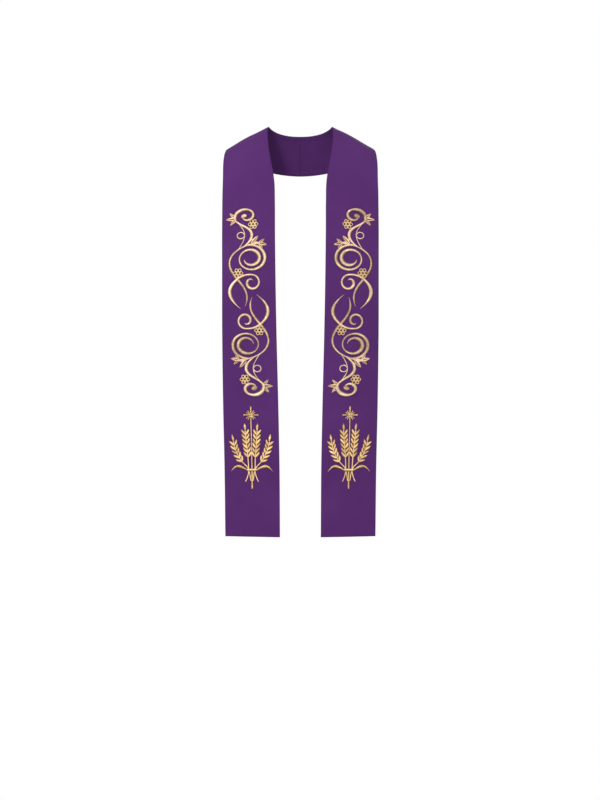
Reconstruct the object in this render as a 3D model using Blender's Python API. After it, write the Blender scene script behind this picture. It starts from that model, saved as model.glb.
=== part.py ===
"""A clerical stole in its worn pose: two shaped cloth bands, joined by a seam behind the neck, that lie
over the shoulders and hang straight down in front, with raised gold embroidery on the fronts.

Frame: metres, +Z up, the fronts face -Y and the wearer's left is +X. The origin is the centre of the back
neckline, where the wearer's nape carries the cloth. Tables are in millimetres.
"""

import math
from collections import namedtuple

import bmesh
import bpy
import numpy as np

MM = 0.001

# Cloth
WALL = 2.0  # firm doubled cloth, pressed
SEAM_GAP = 0.3  # between the two bands at the centre-back seam
ACROSS = 6  # faces across a band
CURVED_LENGTH = 330.0  # from the back seam to the chest, where the cloth bends
CURVED_STEP = 14.0  # length of a face there
HANGING_STEP = 44.0  # length of a face on the straight front

# Embroidery
LIFT = 0.3  # clear of the cloth
RIDGE_LEAST = 0.5  # height of a stroke's ridge where it is thinnest
RIDGE_RISE = 0.24  # height gained for each unit of its half width
BUMP_HIGH, BUMP_LOW = 1.6, 0.7  # heights on a berry and between two berries
STROKE_STEP = 8.5  # length of a face along a stroke
STROKE_TURN = math.radians(25)  # and the most that a spiral turns from face to face
VINE_STEP = 7.5
THINNEST = 1.0

SCROLL_CENTRE = 605.0  # height of the vine scroll's centre above the hem
EMBLEM_CENTRE = 230.0  # height of the emblem's centre above the hem

PURPLE = (0.095, 0.030, 0.155, 1.0)
GOLD = (0.66, 0.44, 0.20, 1.0)

# The band's sections for the wearer's left, from the back seam over the shoulder to the hem. Each section
# runs straight from the inner edge to the outer edge, and its middle bows outwards by bow.
Section = namedtuple("Section", "inner_x inner_y inner_z outer_x outer_y outer_z bow")
SECTIONS = (
    Section(0, 0, 0, 0, 42, -101, 3),  # back seam
    Section(30, -5, 1, 52, 41, -97, 3),
    Section(57, -19, 5, 104, 33, -86, 3),
    Section(75, -40, 11, 150, 9, -69, 3),
    Section(82, -56, 15, 182, -24, -53, 3),
    Section(84, -68, 15, 195, -62, -45, 3),  # shoulder line
    Section(86.5, -84, 5, 199.5, -85, -57, 3),
    Section(86, -102, -17, 201.5, -101, -73, 3),
    Section(83, -118, -46, 202.5, -113, -93, 3),
    Section(78.5, -131, -76, 202.5, -122, -116, 4),
    Section(72.5, -142, -106, 202.5, -130, -140, 4),
    Section(67.5, -152, -142, 203, -138, -168, 4),
    Section(66, -164, -192, 203, -148, -206, 4),  # chest
    Section(65.5, -176, -270, 203, -159, -276, 4),
    Section(64.5, -182, -360, 202.5, -167, -362, 4),
    Section(61.5, -185, -530, 202, -172, -530, 3),
    Section(57, -186, -710, 199.5, -175, -710, 3),
    Section(53.5, -186, -890, 195.5, -176, -890, 3),
    Section(52.5, -186, -1061, 193.5, -176, -1059, 2),  # hem
)

# The upper half of the vine scroll, from the scroll's centre: p runs towards the front edge, q up, and
# angles are counted from p towards q. The lower half is the upper half turned by half a turn.
Spiral = namedtuple("Spiral", "p q start_angle end_angle start_radius end_radius ease flat widths")
SPIRALS = (
    Spiral(-6, 222, 226, -175, 30, 5, 0.75, 0.76, (4, 10, 6, 8.5, 5, 4)),  # top curl
    Spiral(6, 111, 112, -530, 41, 17, 1.15, 0.86, (3.5, 8.5, 5, 4, 9, 8.5, 1)),  # great spiral
    Spiral(9, 49, 100, -285, 20, 6, 0.6, 1.0, (4.5, 5, 6, 6.5, 1)),  # small spiral
    Spiral(-19.5, 172, 5, 350, 9.5, 9.5, 1, 0.9, (2.2, 2.2, 2.2)),  # tendril's ring
)

# A vine passes its marks in order: a place, the way it heads there, and its width.
Mark = namedtuple("Mark", "p q heading width")
VINES = (
    (Mark(-31, 210, -50, 4), Mark(9, 172, -90, 7.5), Mark(-12, 143, -145, 3)),  # stem
    (Mark(-27, 206, -55, 2), Mark(-10, 178, -78, 2.3), Mark(-27, 134, -122, 2)),  # tendril
    (
        Mark(-8, 144, 200, 4),
        Mark(-50, 100, 270, 5.5),
        Mark(-29, 57, 310, 6.5),
        Mark(-5, 15, 277, 5),
        Mark(-9, -12, 250, 1),
    ),  # long arc
    (Mark(-21, -18, 140, 1), Mark(-49, 25, 90, 9), Mark(-29, 58, 40, 6), Mark(8, 69, -4, 4.5)),  # cross arc
    (Mark(-6, 145, 12, 3), Mark(28, 150, -8, 3)),  # bud's stalk
)

# A spray is three leaves that fan out from one foot, and each side leaf bends on outwards.
Spray = namedtuple("Spray", "p q heading length width spread")
SPRAYS = (
    Spray(-28, 218, 182, 31, 11.5, 27),  # at the top curl
    Spray(8, 148, 50, 28, 11, 32),  # leaf
    Spray(26, 150, -10, 23, 9.5, 34),  # bud
)
LEAF_SHARES = (0.45, 1.0, 0.82, 0.1)  # of a leaf's width, from its foot to its tip
SIDE_LENGTH, SIDE_WIDTH, SIDE_BEND = 0.84, 0.8, 26.0  # a side leaf's, beside the middle one's

Place = namedtuple("Place", "p q")
BERRIES = (Place(13, 200), Place(-27, 74))  # six berries round one
BERRY_RADIUS = 4.4
BERRY_RING = 8.7
BERRY_NOTCH = 2.4  # depth of the edge between two berries
BERRY_SIDES = 18
BALL_RADIUS = 7.5  # the end of the top curl
BALL_SIDES = 9

# The emblem: a slim cross with rays on a long shaft, between wheat ears tied at their foot.
CROSS_TOP, CROSS_BAR, CROSS_ARM, SHAFT_FOOT = 106.0, 83.0, 20.0, -106.0
RAY_START, RAY_LENGTH, RAY_WIDTH = 2.0, 14.0, 1.7
RAY_ANGLES = (33, 57, 123, 147, 213, 237, 303, 327)
KERNEL_PITCH = 11.5
# A kernel's points, ahead of its foot on the stalk and out to the side of it
Offset = namedtuple("Offset", "ahead out height")
NOTCH, BELLY, TIP = Offset(2.0, 2.2, 0.0), Offset(5.0, 7.2, 0.0), Offset(14.0, 9.6, 0.0)
RIDGE, GROOVE = Offset(8.2, 5.2, 1.7), Offset(0.0, 0.0, 1.0)
LAST_BELLY, LAST_TIP, LAST_RIDGE = Offset(7.0, 3.8, 0.0), Offset(18.0, 0.0, 0.0), Offset(8.5, 0.0, 1.7)
STALK_OVERLAP = 5.0
Ear = namedtuple("Ear", "stalk pairs")
EARS = (
    Ear((Mark(17, -88, 118, 3), Mark(8.5, -58, 90, 3), Mark(16.5, 62, 89, 3)), 6),  # beside the shaft
    Ear((Mark(3, -86, 80, 3), Mark(16, -46, 42, 3), Mark(49, 34, 86, 3)), 5),  # outwards
)
BLADE = (Mark(9, -60, 30, 3), Mark(33, -49, 12, 8.5), Mark(54, -62, -55, 1))  # a leaf of the wheat
TIE = (Mark(-13, -58, 0, 7), Mark(13, -58, 0, 7))


# ---------------------------------------------------------------- curves


def smooth(places, values, at):
    """Values at the places at, on a smooth curve through the table's values, even at each row."""
    places, values = np.asarray(places, float), np.asarray(values, float)
    slopes = np.gradient(values, places, axis=0)
    k = np.clip(np.searchsorted(places, at, side="right") - 1, 0, len(places) - 2)
    span = places[k + 1] - places[k]
    t = ((at - places[k]) / span)[:, None]
    span = span[:, None]
    return (
        values[k] * (2 * t**3 - 3 * t**2 + 1)
        + values[k + 1] * (3 * t**2 - 2 * t**3)
        + slopes[k] * span * (t**3 - 2 * t**2 + t)
        + slopes[k + 1] * span * (t**3 - t**2)
    )


def middle_lengths(sections):
    """How far along the band's middle each section lies."""
    middles = (sections[:, 0:3] + sections[:, 3:6]) / 2
    return np.concatenate([[0], np.cumsum(np.linalg.norm(np.diff(middles, axis=0), axis=1))])


TABLE = np.array(SECTIONS, float)
LENGTHS = middle_lengths(TABLE)
BAND_LENGTH = LENGTHS[-1]
# One mirrored section past the seam makes both bands meet it squarely.
MIRRORED = TABLE[1] * np.array([-1, 1, 1, -1, 1, 1, 1])
PLACES = np.concatenate([[-LENGTHS[1]], LENGTHS])
ROWS = np.vstack([MIRRORED, TABLE])


def edges_at(along):
    """The inner edge, the outer edge and the bow at distances from the back seam."""
    rows = smooth(PLACES, ROWS, np.asarray(along, float))
    return rows[:, 0:3], rows[:, 3:6], rows[:, 6:7]


def raw_points(along, across):
    """Points on the straight sections: across is -1 at the inner edge and 1 at the outer edge."""
    inner, outer, _ = edges_at(along)
    return inner + (outer - inner) * (across[:, None] + 1) / 2


def face_points(along, across):
    """Points on the band's outer face, with its outward normals, for arrays of along and across."""
    step = 1.0
    ahead = raw_points(along + step, across) - raw_points(along - step, across)
    side = raw_points(along, across + 0.01) - raw_points(along, across - 0.01)
    normals = np.cross(ahead, side)
    normals /= np.linalg.norm(normals, axis=1)[:, None]
    bow = edges_at(along)[2]
    points = raw_points(along, across) + normals * bow * (1 - across[:, None] ** 2)
    return points, normals


# ---------------------------------------------------------------- objects


def clear_scene():
    for old in list(bpy.data.objects):
        bpy.data.objects.remove(old, do_unlink=True)


def cloth_material():
    material = bpy.data.materials.new("purple_cloth")
    material.use_nodes = True
    surface = material.node_tree.nodes["Principled BSDF"]
    surface.inputs["Base Color"].default_value = PURPLE
    surface.inputs["Roughness"].default_value = 0.85
    surface.inputs["Metallic"].default_value = 0.0
    return material


def thread_material():
    material = bpy.data.materials.new("gold_thread")
    material.use_nodes = True
    surface = material.node_tree.nodes["Principled BSDF"]
    surface.inputs["Base Color"].default_value = GOLD
    surface.inputs["Roughness"].default_value = 0.38
    surface.inputs["Metallic"].default_value = 0.55
    return material


def add_object(name, points_mm, faces, material, side=1):
    """An object of its own from points in millimetres; side -1 mirrors it to the wearer's right."""
    points = np.asarray(points_mm, float) * MM * np.array([side, 1, 1])
    if side < 0:
        faces = [tuple(reversed(face)) for face in faces]
    mesh = bpy.data.meshes.new(name)
    mesh.from_pydata(points.tolist(), [], faces)
    mesh.materials.append(material)
    mesh.validate()
    made = bpy.data.objects.new(name, mesh)
    bpy.context.scene.collection.objects.link(made)
    return made


# ---------------------------------------------------------------- the bands


def band_rows():
    """Distances from the seam of the rows of faces: close where the cloth bends, wider where it hangs."""
    curved = np.linspace(0, CURVED_LENGTH, round(CURVED_LENGTH / CURVED_STEP) + 1)
    hanging = BAND_LENGTH - CURVED_LENGTH
    straight = np.linspace(CURVED_LENGTH, BAND_LENGTH, round(hanging / HANGING_STEP) + 1)
    return np.concatenate([curved, straight[1:]])


def grid_faces(rows, columns, first, turned):
    """Quads over a grid of points that starts at index first."""
    faces = []
    for row in range(rows - 1):
        for column in range(columns - 1):
            a = first + row * columns + column
            face = (a, a + 1, a + columns + 1, a + columns)
            faces.append(tuple(reversed(face)) if turned else face)
    return faces


def wall_faces(rows, columns):
    """The faces of a closed sheet: an outer grid, an inner grid behind it, and the strip round their edge."""
    count = rows * columns
    faces = grid_faces(rows, columns, 0, True) + grid_faces(rows, columns, count, False)
    top = list(range(columns))
    right = [row * columns + columns - 1 for row in range(1, rows)]
    bottom = [(rows - 1) * columns + column for column in range(columns - 2, -1, -1)]
    left = [row * columns for row in range(rows - 2, 0, -1)]
    rim = top + right + bottom + left
    for here, after in zip(rim, rim[1:] + rim[:1]):
        faces.append((here, after, after + count, here + count))
    return faces


def add_band(name, material, side):
    rows = band_rows()
    across = np.linspace(-1, 1, ACROSS + 1)
    along = np.repeat(rows, ACROSS + 1)
    outer, normals = face_points(along, np.tile(across, len(rows)))
    inner = outer - normals * WALL
    points = np.vstack([outer, inner])
    at_seam = np.tile(along < 1e-6, 2)
    points[at_seam, 0] = SEAM_GAP / 2
    return add_object(name, points, wall_faces(len(rows), ACROSS + 1), material, side)


# ---------------------------------------------------------------- embroidery, drawn flat


def even_widths(widths, fractions):
    """Stroke widths at fractions of its length, from values spaced evenly along it."""
    return np.interp(fractions, np.linspace(0, 1, len(widths)), widths)


def spiral_path(spiral):
    """The path and the widths of a spiral, whose radius changes evenly, or faster for a larger ease."""
    mean = (spiral.start_radius + spiral.end_radius) / 2
    sweep = math.radians(spiral.end_angle - spiral.start_angle)
    count = round(abs(sweep) * max(1 / STROKE_TURN, mean / STROKE_STEP))
    t = np.linspace(0, 1, count + 1)
    angle = math.radians(spiral.start_angle) + sweep * t
    radius = spiral.end_radius + (spiral.start_radius - spiral.end_radius) * (1 - t) ** spiral.ease
    path = np.stack([spiral.p + radius * np.cos(angle), spiral.q + spiral.flat * radius * np.sin(angle)], 1)
    return path, even_widths(spiral.widths, t)


def stretch_path(start, end, count):
    """Points from one mark to the next, close to a round arc."""
    a, b = np.array([start.p, start.q], float), np.array([end.p, end.q], float)
    turn = math.radians((end.heading - start.heading + 180) % 360 - 180)
    reach = np.linalg.norm(b - a) / math.cos(turn / 4) ** 2
    leave = reach * np.array([math.cos(math.radians(start.heading)), math.sin(math.radians(start.heading))])
    arrive = reach * np.array([math.cos(math.radians(end.heading)), math.sin(math.radians(end.heading))])
    t = np.linspace(0, 1, count + 1)[:, None]
    path = (
        a * (2 * t**3 - 3 * t**2 + 1)
        + b * (3 * t**2 - 2 * t**3)
        + leave * (t**3 - 2 * t**2 + t)
        + arrive * (t**3 - t**2)
    )
    ease = (3 * t**2 - 2 * t**3)[:, 0]
    return path, start.width + (end.width - start.width) * ease


def vine_path(marks):
    """The path and the widths of a vine through all its marks."""
    paths, widths = [], []
    for start, end in zip(marks, marks[1:]):
        reach = math.hypot(end.p - start.p, end.q - start.q)
        path, width = stretch_path(start, end, max(3, round(reach / VINE_STEP)))
        first = 0 if not paths else 1
        paths.append(path[first:])
        widths.append(width[first:])
    return np.vstack(paths), np.concatenate(widths)


def stroke_solid(path, widths):
    """A closed raised stroke along a flat path: a flat underside and a ridge along the middle."""
    ahead = np.gradient(path, axis=0)
    ahead /= np.linalg.norm(ahead, axis=1)[:, None]
    left = np.stack([-ahead[:, 1], ahead[:, 0]], 1)
    half = np.maximum(widths, THINNEST)[:, None] / 2
    ridge = RIDGE_LEAST + RIDGE_RISE * half
    ring = (
        np.hstack([path - left * half, np.zeros_like(half)]),
        np.hstack([path + left * half, np.zeros_like(half)]),
        np.hstack([path, ridge]),
    )
    points = np.stack(ring, 1).reshape(-1, 3)
    sides, last = len(ring), len(path) - 1
    faces = [tuple(range(sides)), tuple(reversed(range(last * sides, last * sides + sides)))]
    for row in range(last):
        for k in range(sides):
            a, b = row * sides + k, row * sides + (k + 1) % sides
            faces.append((a, a + sides, b + sides, b))
    return points, faces


def boss_solid(p, q, sides, rings):
    """A closed round boss from its edge inwards: each ring has a radius and a height for each side, and
    the last entry is the height of the middle."""
    turn = np.arange(sides) * 2 * math.pi / sides
    points = []
    for radius, height in rings[:-1]:
        points.append(np.stack([p + radius * np.cos(turn), q + radius * np.sin(turn), height + 0 * turn], 1))
    points = np.vstack([*points, [[p, q, rings[-1]]]])
    faces = [tuple(reversed(range(sides)))]
    for ring in range(len(rings) - 2):
        for k in range(sides):
            a, b = ring * sides + k, ring * sides + (k + 1) % sides
            faces.append((a, b, b + sides, a + sides))
    first = (len(rings) - 2) * sides
    faces += [(first + k, first + (k + 1) % sides, len(points) - 1) for k in range(sides)]
    return points, faces


def leaf_path(p, q, heading, length, width, bend):
    """A pointed leaf from its foot, which bends by an angle on the way to its tip."""
    turn, half = math.radians(heading), math.radians(bend) / 2
    tip = (p + length * math.cos(turn + half), q + length * math.sin(turn + half))
    path, _ = stretch_path(Mark(p, q, heading, 0), Mark(*tip, heading + bend, 0), len(LEAF_SHARES) - 1)
    return path, np.array(LEAF_SHARES) * width


def spray_solids(spray):
    leaves = [leaf_path(spray.p, spray.q, spray.heading, spray.length, spray.width, 0)]
    for way in (-1, 1):
        heading, length = spray.heading + way * spray.spread, spray.length * SIDE_LENGTH
        leaves.append(leaf_path(spray.p, spray.q, heading, length, spray.width * SIDE_WIDTH, way * SIDE_BEND))
    return [stroke_solid(*leaf) for leaf in leaves]


def berry_solid(place):
    """Six berries round one, as one boss with seven bumps."""
    petal = 0.5 + 0.5 * np.cos(6 * np.arange(BERRY_SIDES) * 2 * math.pi / BERRY_SIDES)
    edge = BERRY_RING + BERRY_RADIUS - BERRY_NOTCH * (1 - petal)
    rings = (
        (edge, 0.0),
        (BERRY_RING, BUMP_LOW + (BUMP_HIGH - BUMP_LOW) * petal),
        (BERRY_RADIUS, BUMP_LOW),
        BUMP_HIGH,
    )
    return boss_solid(place.p, place.q, BERRY_SIDES, rings)


def scroll_solids():
    """The upper half of the vine scroll as overlapping strokes."""
    solids = [stroke_solid(*spiral_path(spiral)) for spiral in SPIRALS]
    curl_end = spiral_path(SPIRALS[0])[0][-1]
    ball = ((BALL_RADIUS, 0.0), (BALL_RADIUS / 2, BUMP_HIGH), BUMP_HIGH)
    solids.append(boss_solid(*curl_end, BALL_SIDES, ball))
    solids += [stroke_solid(*vine_path(marks)) for marks in VINES]
    for spray in SPRAYS:
        solids += spray_solids(spray)
    solids += [berry_solid(place) for place in BERRIES]
    return solids


def flipped_mark(mark):
    return Mark(-mark.p, mark.q, 180 - mark.heading, mark.width)


class Stalk:
    """A wheat stalk's path, read by distance along it."""

    def __init__(self, marks):
        self.path, _ = vine_path(marks)
        steps = np.linalg.norm(np.diff(self.path, axis=0), axis=1)
        self.run = np.concatenate([[0], np.cumsum(steps)])
        self.length = self.run[-1]

    def at(self, run):
        return np.array([np.interp(run, self.run, self.path[:, axis]) for axis in (0, 1)])

    def beside(self, foot, offset, side):
        """The point at an offset from a foot on the stalk, to the left of the stalk for side 1."""
        start = self.at(foot)
        ahead = self.at(foot + 2) - self.at(foot - 2)
        ahead /= np.linalg.norm(ahead)
        left = np.array([-ahead[1], ahead[0]])
        p, q = start + ahead * offset.ahead + left * offset.out * side
        return (p, q, offset.height)


def ear_solids(ear):
    """A stalk, and the ear on it as one herringbone boss of kernels in pairs, with one at the tip."""
    stalk = Stalk(ear.stalk)
    first_foot = stalk.length - ear.pairs * KERNEL_PITCH - LAST_TIP.ahead
    run = np.linspace(0, first_foot + STALK_OVERLAP, 8)
    solids = [stroke_solid(np.array([stalk.at(r) for r in run]), np.full(len(run), ear.stalk[0].width))]
    points, faces = [], []

    def add(foot, offset, side=1):
        points.append(stalk.beside(foot, offset, side))
        return len(points) - 1

    def start_of_pair(foot):
        return add(foot, GROOVE), add(foot, NOTCH, 1), add(foot, NOTCH, -1)

    groove, left, right = start_of_pair(first_foot)
    faces.append((groove, left, right))
    for k in range(ear.pairs):
        foot = first_foot + k * KERNEL_PITCH
        next_groove, next_left, next_right = start_of_pair(foot + KERNEL_PITCH)
        under = []
        for side, notch, next_notch in ((1, left, next_left), (-1, right, next_right)):
            belly, tip, ridge = add(foot, BELLY, side), add(foot, TIP, side), add(foot, RIDGE, side)
            loop = (groove, next_groove, next_notch, tip, belly, notch)
            for a, b in zip(loop, loop[1:] + loop[:1]):
                faces.append((a, b, ridge) if side > 0 else (b, a, ridge))
            under.append((notch, belly, tip, next_notch))
        faces.append(under[0] + tuple(reversed(under[1])))
        groove, left, right = next_groove, next_left, next_right
    foot = first_foot + ear.pairs * KERNEL_PITCH
    left_belly, right_belly = add(foot, LAST_BELLY, 1), add(foot, LAST_BELLY, -1)
    tip, ridge = add(foot, LAST_TIP), add(foot, LAST_RIDGE)
    loop = (groove, right, right_belly, tip, left_belly, left)
    faces += [(a, b, ridge) for a, b in zip(loop, loop[1:] + loop[:1])]
    faces.append((left, left_belly, tip, right_belly, right))
    solids.append((np.array(points), faces))
    return solids


def emblem_solids():
    """The cross on its shaft, between the tied wheat."""
    shaft = (
        Mark(0, CROSS_TOP, -90, 5.5),
        Mark(0, CROSS_BAR, -90, 3.2),
        Mark(0, 0, -90, 3),
        Mark(0, SHAFT_FOOT, -90, 4.5),
    )
    bar = (
        Mark(-CROSS_ARM, CROSS_BAR, 0, 5.5),
        Mark(0, CROSS_BAR, 0, 3.2),
        Mark(CROSS_ARM, CROSS_BAR, 0, 5.5),
    )
    solids = [stroke_solid(*vine_path(marks)) for marks in (shaft, bar, TIE)]
    for angle in RAY_ANGLES:
        turn = math.radians(angle)
        reach = np.array([[RAY_START], [RAY_LENGTH]]) * np.array([[math.cos(turn), math.sin(turn)]])
        solids.append(stroke_solid(reach + [0, CROSS_BAR], np.full(2, RAY_WIDTH)))
    for ear in EARS:
        solids += ear_solids(ear)
        solids += ear_solids(Ear(tuple(flipped_mark(mark) for mark in ear.stalk), ear.pairs))
    for blade in (BLADE, tuple(flipped_mark(mark) for mark in BLADE)):
        solids.append(stroke_solid(*vine_path(blade)))
    return solids


def joined(solids):
    """One closed body of overlapping flat-drawn solids, as points and triangles."""
    helpers = bpy.data.collections.new("strokes")
    objects = []
    for points, faces in solids:
        mesh = bpy.data.meshes.new("stroke")
        mesh.from_pydata(np.asarray(points).tolist(), [], faces)
        made = bpy.data.objects.new("stroke", mesh)
        made.hide_render = True
        made.display_type = "WIRE"
        objects.append(made)
    base = objects[0]
    bpy.context.scene.collection.objects.link(base)
    for made in objects[1:]:
        helpers.objects.link(made)
    union = base.modifiers.new("union", "BOOLEAN")
    union.operation = "UNION"
    union.solver = "EXACT"
    union.operand_type = "COLLECTION"
    union.collection = helpers
    graph = bpy.context.evaluated_depsgraph_get()
    result = bpy.data.meshes.new_from_object(base.evaluated_get(graph))
    tidy = bmesh.new()
    tidy.from_mesh(result)
    bmesh.ops.remove_doubles(tidy, verts=tidy.verts, dist=0.001)
    bmesh.ops.triangulate(tidy, faces=tidy.faces)
    points = np.array([vertex.co[:] for vertex in tidy.verts])
    tidy.verts.index_update()
    faces = [tuple(vertex.index for vertex in face.verts) for face in tidy.faces]
    tidy.free()
    for made in objects:
        bpy.data.objects.remove(made, do_unlink=True)
    bpy.data.collections.remove(helpers)
    return points, faces


# ---------------------------------------------------------------- embroidery, laid on the cloth


def laid_on_band(flat, centre_height, turned=False):
    """Flat-drawn points, in p, q and height, moved out from the band's outer face."""
    p, q = (-flat[:, 0], -flat[:, 1]) if turned else (flat[:, 0], flat[:, 1])
    along = BAND_LENGTH - centre_height - q
    inner, outer, _ = edges_at(along)
    across = -p / (np.linalg.norm(outer - inner, axis=1) / 2)
    points, normals = face_points(along, across)
    return points + normals * (LIFT + flat[:, 2:3])


def main():
    clear_scene()
    cloth, thread = cloth_material(), thread_material()
    scroll = joined(scroll_solids())
    emblem = joined(emblem_solids())
    for name, side in (("left", 1), ("right", -1)):
        add_band(f"band_{name}", cloth, side)
        for half, turned in (("upper", False), ("lower", True)):
            laid = laid_on_band(scroll[0], SCROLL_CENTRE, turned)
            faces = [tuple(reversed(face)) for face in scroll[1]]
            add_object(f"scroll_{half}_{name}", laid, faces, thread, side)
        laid = laid_on_band(emblem[0], EMBLEM_CENTRE)
        faces = [tuple(reversed(face)) for face in emblem[1]]
        add_object(f"emblem_{name}", laid, faces, thread, side)


main()
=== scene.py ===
# %% [markdown]
# # A clerical stole, dressed
#
# A stole is a long narrow vestment: two shaped bands of cloth, joined by a seam behind the neck, that lie
# over the shoulders and hang down in front. This lesson dresses its solid model: first the camera and the
# studio, then the cloth, then the raised gold embroidery, stitch by stitch.
#
# Everything is in one shared frame. The origin is the middle of the back neckline, +Z is up, the fronts
# face -Y and the wearer's left is +X. Lengths in the tables are millimetres.

# %% Load the solid model
import math
from collections import namedtuple

import bpy
import numpy as np
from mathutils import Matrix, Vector


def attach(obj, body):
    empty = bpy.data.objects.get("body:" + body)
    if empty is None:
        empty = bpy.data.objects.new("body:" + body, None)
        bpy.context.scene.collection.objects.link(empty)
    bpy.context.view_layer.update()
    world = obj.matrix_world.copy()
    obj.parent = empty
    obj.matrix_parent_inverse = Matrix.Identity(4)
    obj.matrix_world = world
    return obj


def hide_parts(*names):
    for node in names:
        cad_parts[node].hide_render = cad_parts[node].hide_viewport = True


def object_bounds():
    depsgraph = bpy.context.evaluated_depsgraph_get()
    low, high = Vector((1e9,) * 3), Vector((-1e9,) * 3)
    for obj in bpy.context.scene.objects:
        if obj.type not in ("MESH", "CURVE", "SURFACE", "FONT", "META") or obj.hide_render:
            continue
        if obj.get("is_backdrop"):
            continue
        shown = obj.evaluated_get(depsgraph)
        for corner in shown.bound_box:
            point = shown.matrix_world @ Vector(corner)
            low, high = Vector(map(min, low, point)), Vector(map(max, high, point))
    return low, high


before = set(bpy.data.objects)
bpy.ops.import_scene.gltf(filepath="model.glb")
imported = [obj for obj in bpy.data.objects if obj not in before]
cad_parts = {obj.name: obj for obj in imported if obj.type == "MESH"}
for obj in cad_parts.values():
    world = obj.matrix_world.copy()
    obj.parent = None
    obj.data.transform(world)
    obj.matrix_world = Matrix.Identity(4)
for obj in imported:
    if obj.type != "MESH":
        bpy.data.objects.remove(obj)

MM = 0.001
solid_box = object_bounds()
print("nodes:", ", ".join(sorted(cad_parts)))

# %% [markdown]
# ## Camera
#
# A stole is pictured level and from well away, so that its two fronts stay parallel. One pixel is
# 2.57 mm on the fronts, 4 m from the camera, and a sensor fitted by its height keeps that whatever the
# picture's width.

# %% Camera
FRONTS_Y = -0.186
PICTURE_HEIGHT = 2.056  # metres that the picture shows at the fronts
DISTANCE = 4.0
CAMERA_X, CAMERA_Z = -0.001, -0.708
SENSOR = 24
scene = bpy.context.scene


def add_object(name, data):
    made = bpy.data.objects.new(name, data)
    scene.collection.objects.link(made)
    return made


camera_data = bpy.data.cameras.new("camera")
camera_data.sensor_fit = "VERTICAL"
camera_data.sensor_height = SENSOR
camera_data.lens = SENSOR * DISTANCE / PICTURE_HEIGHT
camera = add_object("camera", camera_data)
camera.location = (CAMERA_X, FRONTS_Y - DISTANCE, CAMERA_Z)
camera.rotation_euler = (math.radians(90), 0, 0)
scene.camera = camera
print(f"camera {DISTANCE} m from the fronts, lens {camera_data.lens:.1f} mm")

# %% [markdown]
# ## Studio
#
# The background is plain white with no horizon. A white world gives that from every side, and a pale
# floor lies well below the hem, where the wearer would stand. What the camera sees of both is pure white,
# but the light that they give is uneven and comes mostly from the front, above and on the left, so that
# it shapes the cloth and leaves one flank of each raised stroke in shade. A small lamp on the same side
# adds the shine, a weak one on the right fills in, and one behind lights the nape.
#
# Node trees are written with three helpers: one sets a node's inputs or joins them to other nodes, one
# adds a node, and one adds a node that does a sum.


# %% Helpers for node trees
def set_inputs(node, values):
    """Gives each named input its value, or joins it to another node's output."""
    for name, value in values.items():
        if isinstance(value, bpy.types.NodeSocket):
            node.id_data.links.new(value, node.inputs[name])
        else:
            node.inputs[name].default_value = value


def add_node(tree, kind, inputs=None, **settings):
    node = tree.nodes.new(kind)
    for name, value in settings.items():
        setattr(node, name, value)
    set_inputs(node, inputs or {})
    return node


def math_node(tree, operation, *values):
    return add_node(tree, "ShaderNodeMath", dict(enumerate(values)), operation=operation).outputs[0]


# %% World
SHADED_SIDE, LIT_SIDE = 0.05, 2.2  # strength of the world's light
TOWARDS_LIGHT = (-0.18, -0.78, 0.60)
FALL_OFF = 1.8  # how fast it weakens away from the lit side

scene.view_settings.view_transform = "Standard"
world = bpy.data.worlds.new("studio")
world.use_nodes = True
scene.world = world
sky = world.node_tree
way = add_node(sky, "ShaderNodeTexCoord").outputs["Generated"]
facing = add_node(sky, "ShaderNodeVectorMath", {0: way, 1: TOWARDS_LIGHT}, operation="DOT_PRODUCT")
share = add_node(sky, "ShaderNodeMapRange", {"Value": facing.outputs["Value"], "From Min": -1.0})
falling = math_node(sky, "POWER", share.outputs["Result"], FALL_OFF)
shading = add_node(sky, "ShaderNodeMapRange", {"Value": falling, "To Min": SHADED_SIDE, "To Max": LIT_SIDE})
seen = add_node(sky, "ShaderNodeLightPath").outputs["Is Camera Ray"]
strength = add_node(sky, "ShaderNodeMix", {"Factor": seen, "A": shading.outputs["Result"], "B": 1.0})
set_inputs(sky.nodes["Background"], {"Color": (1, 1, 1, 1), "Strength": strength.outputs["Result"]})
print("world light from", SHADED_SIDE, "to", LIT_SIDE)

# %% Floor
FLOOR_Z, FLOOR_HALF = -1.45, 30
PAPER = {"Base Color": (0.45, 0.45, 0.45, 1), "Roughness": 1.0, "Specular IOR Level": 0.0}


def new_mesh(name, points, edges, faces, facts=None, material=None):
    """A smooth mesh. Each fact has a number for each point, which materials and trees can read."""
    mesh = bpy.data.meshes.new(name)
    mesh.from_pydata(points, edges, faces)
    for fact, values in (facts or {}).items():
        mesh.attributes.new(fact, "FLOAT", "POINT").data.foreach_set("value", values)
    mesh.polygons.foreach_set("use_smooth", [True] * len(mesh.polygons))
    if material:
        mesh.materials.append(material)
    return mesh


def new_material(name, finish):
    """A material, its node tree and its Principled BSDF with the finish set on it."""
    material = bpy.data.materials.new(name)
    material.use_nodes = True
    surface = material.node_tree.nodes["Principled BSDF"]
    set_inputs(surface, finish)
    return material, material.node_tree, surface


white_paper, tree, surface = new_material("white_paper", PAPER)
seen = add_node(tree, "ShaderNodeLightPath").outputs["Is Camera Ray"]
white = add_node(tree, "ShaderNodeEmission").outputs[0]
either = add_node(tree, "ShaderNodeMixShader", {0: seen, 1: surface.outputs[0], 2: white})
set_inputs(tree.nodes["Material Output"], {"Surface": either.outputs[0]})
corners = [(x * FLOOR_HALF, y * FLOOR_HALF, FLOOR_Z) for x, y in ((-1, -1), (1, -1), (1, 1), (-1, 1))]
floor = add_object("floor", new_mesh("floor", corners, [], [(0, 1, 2, 3)], material=white_paper))
floor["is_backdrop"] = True
print(f"floor at {FLOOR_Z} m, {abs(FLOOR_Z - solid_box[0].z):.2f} m under the hem")

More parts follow.
